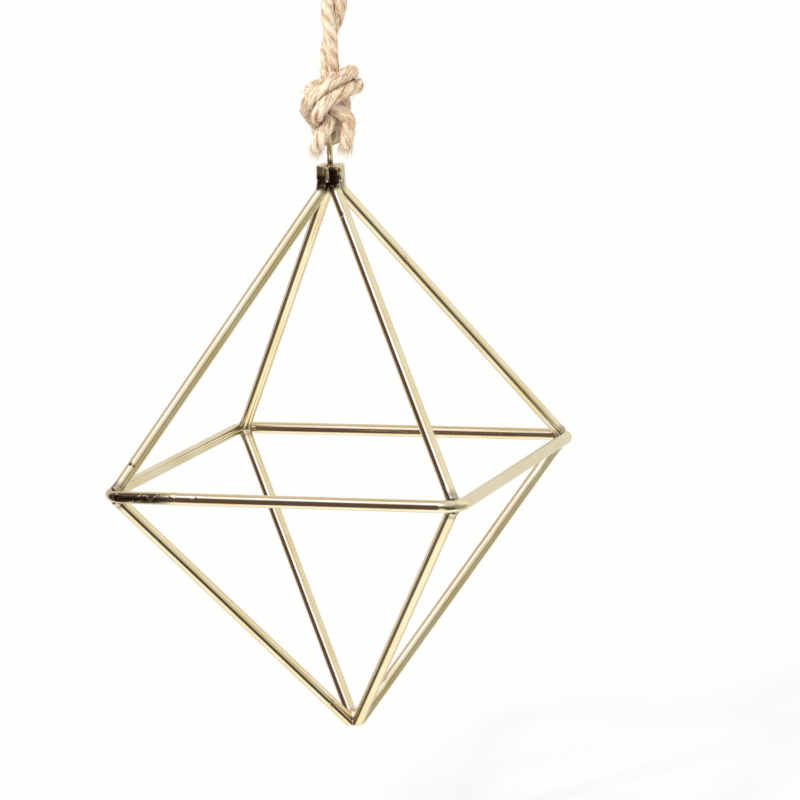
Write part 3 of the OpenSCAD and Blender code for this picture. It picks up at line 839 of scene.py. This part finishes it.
# The bead squeezed out round a leg's foot: it flares where it meets the ring
def weldCollar(skin, direction, upward, seed):
    lean = upperLean if upward else lowerLean
    axis = np.array([-math.sin(lean), 0, math.cos(lean) * (1 if upward else -1)])
    path = np.array([np.array([cornerR, 0, 0]) + axis * s for s, _ in collarRows])
    path = turned(path, direction, ringZ)
    _, a, b = carriedSides(path, start=(math.cos(math.radians(direction)) * 0.5,
                                        math.sin(math.radians(direction)) * 0.5, 0.7))
    sides = 28
    radii = np.zeros((len(collarRows), sides))
    for i, (_, r) in enumerate(collarRows):
        lumps = weldLook["lumps"] if r > weldLook["lumpFrom"] else 0
        for j in range(sides):
            q = 2 * math.pi * j / sides
            where = path[i] + (a[i] * math.cos(q) + b[i] * math.sin(q)) * r
            radii[i, j] = min(weldLook["widest"], r + lumps * wobble(where, seed, weldLook["lumpSize"]))
    skin.tube(path, radii, a, b, depth=0.5 if upward else 0.25)


def roundLump(skin, centre, size, seed, rows=14, sides=24):
    path, radii = [], []
    for i in range(rows + 1):
        q = math.pi * i / rows
        path.append(np.array(centre) + np.array([0, 0, -math.cos(q) * size]))
        radii.append([max(0.02, math.sin(q) * size) * (1 + weldLook["tipLumps"] * wobble(
                     (math.cos(k * 2 * math.pi / sides) * 2, math.sin(k * 2 * math.pi / sides) * 2, q * 2),
                     seed, 1.2)) for k in range(sides)])
    skin.tube(np.array(path), np.array(radii), *levelSides(len(path)))


def makeCornerBeads():
    for number, (corner, direction) in enumerate(corners.items()):
        skin = Skin()
        weldCollar(skin, direction, True, number + 1)
        weldCollar(skin, direction, False, number + 11)
        bead = skin.mesh("corner_beads_" + corner, brassPlating)
        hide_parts("corner_welds_" + corner)
        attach(bead, "frame")


# The ring's own butt weld: an upset collar, fullest on its top
def makeButtWeld():
    skin = Skin()
    x0, sides = weldLook["buttFromCorner"] - w["ringSide"] / 2, 24
    path = np.array([[x0 + x, -w["ringSide"] / 2, ringZ]
                     for x in np.linspace(-weldLook["buttHalf"], weldLook["buttHalf"], len(buttSwell))])
    _, a, b = carriedSides(path)
    upward = np.cos(np.radians(180 + np.arange(sides) * 15) - math.atan2(b[4][2] + 0.3, a[4][2]))
    radii = np.array([[wireR - 0.01 + s * (0.35 + 0.65 * max(0.0, upward[k]))
                       * (1 + 0.5 * wobble((math.cos(k / 3.8), math.sin(k / 3.8), i), 3, 1.0))
                       for k in range(sides)] for i, s in enumerate(buttSwell)])
    skin.tube(path, radii, a, b)
    butt = skin.mesh("ring_butt_bead", brassPlating)
    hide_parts("ring_butt_weld")
    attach(butt, "frame")


# Brazed seams in the valleys between the uprights
def makeSeams():
    skin = Skin()
    step, rows = pitchR / math.sqrt(2), 16
    valley = step + math.sqrt((wireR + weldLook["seam"] / 4) ** 2 - step ** 2) - weldLook["seamSink"]
    seamTop, seamLow = bundleTopZ - 0.1, bundleTopZ - (w["upright"] - bendCut) + 0.3
    levels = np.linspace(seamLow, seamTop, rows)
    taper = np.sqrt(np.clip(1 - ((levels - levels.mean()) / (levels[-1] - levels[0]) * 2) ** 4, 0.03, 1))
    for k in range(4):
        q = math.radians(90 * k)
        path = np.array([[math.cos(q) * valley, math.sin(q) * valley, z] for z in levels])
        radii = np.array([[weldLook["seamBead"] * taper[i] * (1 + 0.25 * wobble(
                           (math.cos(j / 2.5), math.sin(j / 2.5), levels[i]), k + 5, 1.1))
                           for j in range(16)] for i in range(rows)])
        skin.tube(path, radii, *levelSides(rows))
    seams = skin.mesh("bundle_seams", weldMetal)
    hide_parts("bundle_welds")
    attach(seams, "frame")


def makeTipBead():
    skin = Skin()
    tipZ, bead = ringZ - w["lowerDrop"], weldLook["tipBead"]
    roundLump(skin, (0, 0, tipZ + bead * 0.35), bead / 2 * 0.95, 4)
    tip = skin.mesh("tip_bead", weldMetal)
    cutAway(tip, (0, 0, tipZ + 0.02), Vector((0, 0, -1)))
    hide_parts("tip_weld")
    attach(tip, "frame")


makeCornerBeads()
makeButtWeld()
makeSeams()
makeTipBead()
print("welds made")


# Hanging eye: the ring's plane holds `across` and Z
def makeEye():
    skin = Skin()
    q = math.radians(w["eyeTurn"])
    across = np.array([-math.sin(q), math.cos(q), 0])
    path = np.array([across * eyeRingR * math.sin(k) + np.array([0, 0, eyeZ - eyeRingR * math.cos(k)])
                     for k in np.linspace(0, 2 * math.pi, 121)[:-1]])
    _, a, b = carriedSides(path, closed=True, start=(math.cos(q), math.sin(q), 0))
    brown = np.clip((bundleTopZ + eyeStain["riseMm"] - path[:, 2]) / eyeStain["fadeMm"], 0, 1)
    brown = brown[:, None] * np.full((1, eyeSides), eyeStain["share"])
    skin.tube(path, np.full((len(path), eyeSides), w["eyeWire"] / 2), a, b, closed=True, depth=brown)
    path = np.array([[0, 0, z] for z in np.linspace(bundleTopZ - w["stem"], bundleTopZ + w["eyeWire"] / 2, 20)])
    _, a, b = carriedSides(path)
    skin.tube(path, np.full((len(path), eyeSides), w["eyeWire"] / 2), a, b, depth=eyeStain["share"])
    eye = skin.mesh("eye_wire", brassPlating)
    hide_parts("hanging_eye")
    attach(eye, "frame")


makeEye()
print("eye made")


# Floor, light and world
studio = {"floorDropMm": 36, "floorHalf": 6.0, "floorTone": "#ededec", "floorGlow": 0.66, "sky": 0.84,
          "key": 1.58, "keySpread": 7, "keyFrom": (-38, 42), "keyTone": (1.0, 0.97, 0.92), "around": "#e6e2da"}

# What the polished wire mirrors: soft round patches in a pale surround. Azimuth, elevation, the angles
# from the patch's middle where it begins and where it is full, its colour and its power.
patches = {"paleRight": (72, 12, 66, 34, "#f8f4ea", 1.0), "whiteBelow": (0, -90, 40, 27, "#fffdf4", 1.12),
           "greyMiddle": (30, 0, 27, 11, "#a49c8c", 1.0), "greyLow": (78, -27, 36, 20, "#aaa896", 1.0),
           "brownMiddle": (-6, -5, 30, 15, "#65584b", 1.0), "brownLow": (25, -36, 29, 14, "#584d3e", 1.0),
           "brownLeft": (-71, -4, 51, 44, "#5f4c46", 1.0), "oliveLeft": (-101, -40, 18, 8, "#6d6150", 1.0),
           "tanHigh": (-112, 68, 30, 12, "#cfbda7", 1.0), "tanBack": (-137, 20, 38, 16, "#cfc2b8", 1.0),
           "paleHigh": (-25, 43, 23, 12, "#eef1ff", 1.2), "brightHigh": (-51, 55, 18, 11, "#e9e4ff", 1.75)}


# Unit vector seen from the holder: azimuth 0 points at the camera, positive to the right
def towards(azimuth, elevation):
    a, e = math.radians(azimuth), math.radians(elevation)
    front, right = Vector((0.3372, -0.9414, 0)), Vector((0.9414, 0.3372, 0))
    return (front * math.cos(a) + right * math.sin(a)) * math.cos(e) + Vector((0, 0, math.sin(e)))


# The camera sees the floor white; a share of its plain shade keeps the holder's soft shadow
def makeFloor():
    material, tree = newMaterial("plainPaleFloor")
    plain = addNode(tree, "ShaderNodeBsdfDiffuse", {"Color": hexColour(studio["floorTone"])})
    white = addNode(tree, "ShaderNodeEmission", {"Color": hexColour("#ffffff"), "Strength": 1.0})
    light = addNode(tree, "ShaderNodeLightPath")
    seen = addNode(tree, "ShaderNodeMath", {1: studio["floorGlow"]}, {0: light.outputs["Is Camera Ray"]},
                   operation="MULTIPLY")
    shader = addNode(tree, "ShaderNodeMixShader",
                     links={"Fac": seen.outputs[0], 1: plain.outputs[0], 2: white.outputs[0]})
    addNode(tree, "ShaderNodeOutputMaterial", links={"Surface": shader.outputs[0]})
    size, z = studio["floorHalf"], (ringZ - w["lowerDrop"] - studio["floorDropMm"]) * mm
    data = bpy.data.meshes.new("floor")
    data.from_pydata([(-size, -size, z), (size, -size, z), (size, size, z), (-size, size, z)], [],
                     [(0, 1, 2, 3)])
    data.materials.append(material)
    floor = bpy.data.objects.new("floor", data)
    scene.collection.objects.link(floor)
    floor.visible_glossy = False


def makeWorld():
    world = bpy.data.worlds.new("studio")
    scene.world = world
    world.use_nodes = True
    tree = world.node_tree
    tree.nodes.clear()
    way = addNode(tree, "ShaderNodeTexCoord").outputs["Generated"]
    colour = addNode(tree, "ShaderNodeRGB")
    colour.outputs[0].default_value = hexColour(studio["around"])
    current = colour.outputs[0]
    for name, (azimuth, elevation, outer, inner, tone, power) in patches.items():
        dot = addNode(tree, "ShaderNodeVectorMath", {1: towards(azimuth, elevation)}, {0: way},
                      operation="DOT_PRODUCT")
        mask = addNode(tree, "ShaderNodeMapRange",
                       {"From Min": math.cos(math.radians(outer)), "From Max": math.cos(math.radians(inner))},
                       {"Value": dot.outputs["Value"]}, interpolation_type="SMOOTHSTEP")
        mix = addNode(tree, "ShaderNodeMix", {"B": [v * power for v in hexColour(tone)]},
                      {"A": current, "Factor": mask.outputs[0]}, data_type="RGBA", label=name)
        current = mix.outputs["Result"]
    mirrored = addNode(tree, "ShaderNodeBackground", {"Strength": 1.0}, {"Color": current})
    sky = addNode(tree, "ShaderNodeBackground", {"Color": hexColour("#ffffff"), "Strength": studio["sky"]})
    white = addNode(tree, "ShaderNodeBackground", {"Color": hexColour("#ffffff"), "Strength": 1.0})
    light = addNode(tree, "ShaderNodeLightPath")
    first = addNode(tree, "ShaderNodeMixShader",
                    links={"Fac": light.outputs["Is Glossy Ray"], 1: sky.outputs[0], 2: mirrored.outputs[0]})
    second = addNode(tree, "ShaderNodeMixShader",
                     links={"Fac": light.outputs["Is Camera Ray"], 1: first.outputs[0], 2: white.outputs[0]})
    addNode(tree, "ShaderNodeOutputWorld", links={"Surface": second.outputs[0]})


def makeLights():
    data = bpy.data.lights.new("key", "SUN")
    data.energy, data.angle = studio["key"], math.radians(studio["keySpread"])
    data.color = studio["keyTone"]
    key = bpy.data.objects.new("key", data)
    scene.collection.objects.link(key)
    key.visible_glossy = False
    aim = -towards(*studio["keyFrom"])
    key.rotation_mode = "QUATERNION"
    key.rotation_quaternion = aim.to_track_quat("-Z", "Y")


makeFloor()
makeWorld()
makeLights()
scene.view_settings.view_transform = "Standard"
print("studio made")
